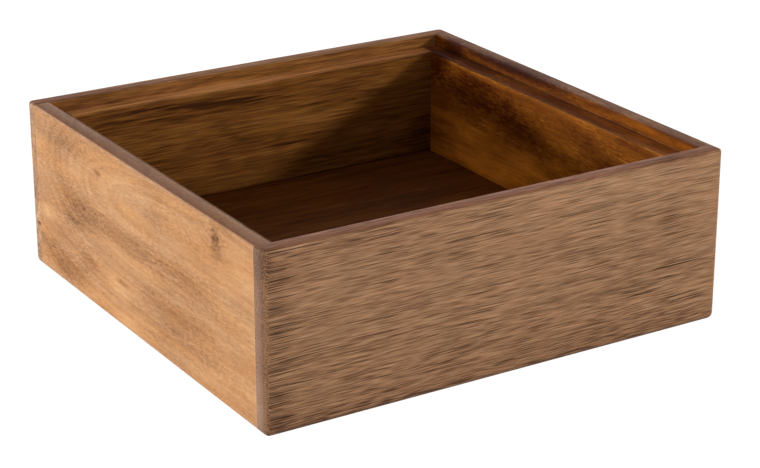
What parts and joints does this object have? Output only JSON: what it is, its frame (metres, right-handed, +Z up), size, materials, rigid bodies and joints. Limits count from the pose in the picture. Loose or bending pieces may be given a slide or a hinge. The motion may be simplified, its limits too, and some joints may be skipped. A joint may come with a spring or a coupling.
{
  "type": "stacking wooden box",
  "caption": "Low square box of lapped wooden boards with a rabbeted rim, open on top, on a recessed plinth that nests in the rim of a like box.",
  "frame": {"origin": "on the ground under the middle of the box, at the underside of the plinth", "axes": "+X to the right along the front board, +Y to the back, +Z up; the front face looks along -Y"},
  "size_m": [0.18, 0.176, 0.0652],
  "materials": {
    "front_board_wood": "oiled acacia, straight brown grain",
    "back_board_wood": "oiled acacia, brown with dark streaks",
    "left_board_wood": "oiled acacia, honey with a knot",
    "right_board_wood": "oiled acacia, orange brown and cloudy",
    "floor_panel_wood": "oiled acacia, dark brown",
    "plinth_wood": "oiled acacia, dark brown"
  },
  "bodies": {
    "root": {"front_board": "front_board_wood", "back_board": "back_board_wood", "left_board": "left_board_wood", "right_board": "right_board_wood", "floor_panel": "floor_panel_wood", "plinth": "plinth_wood"}
  },
  "joints": []
}
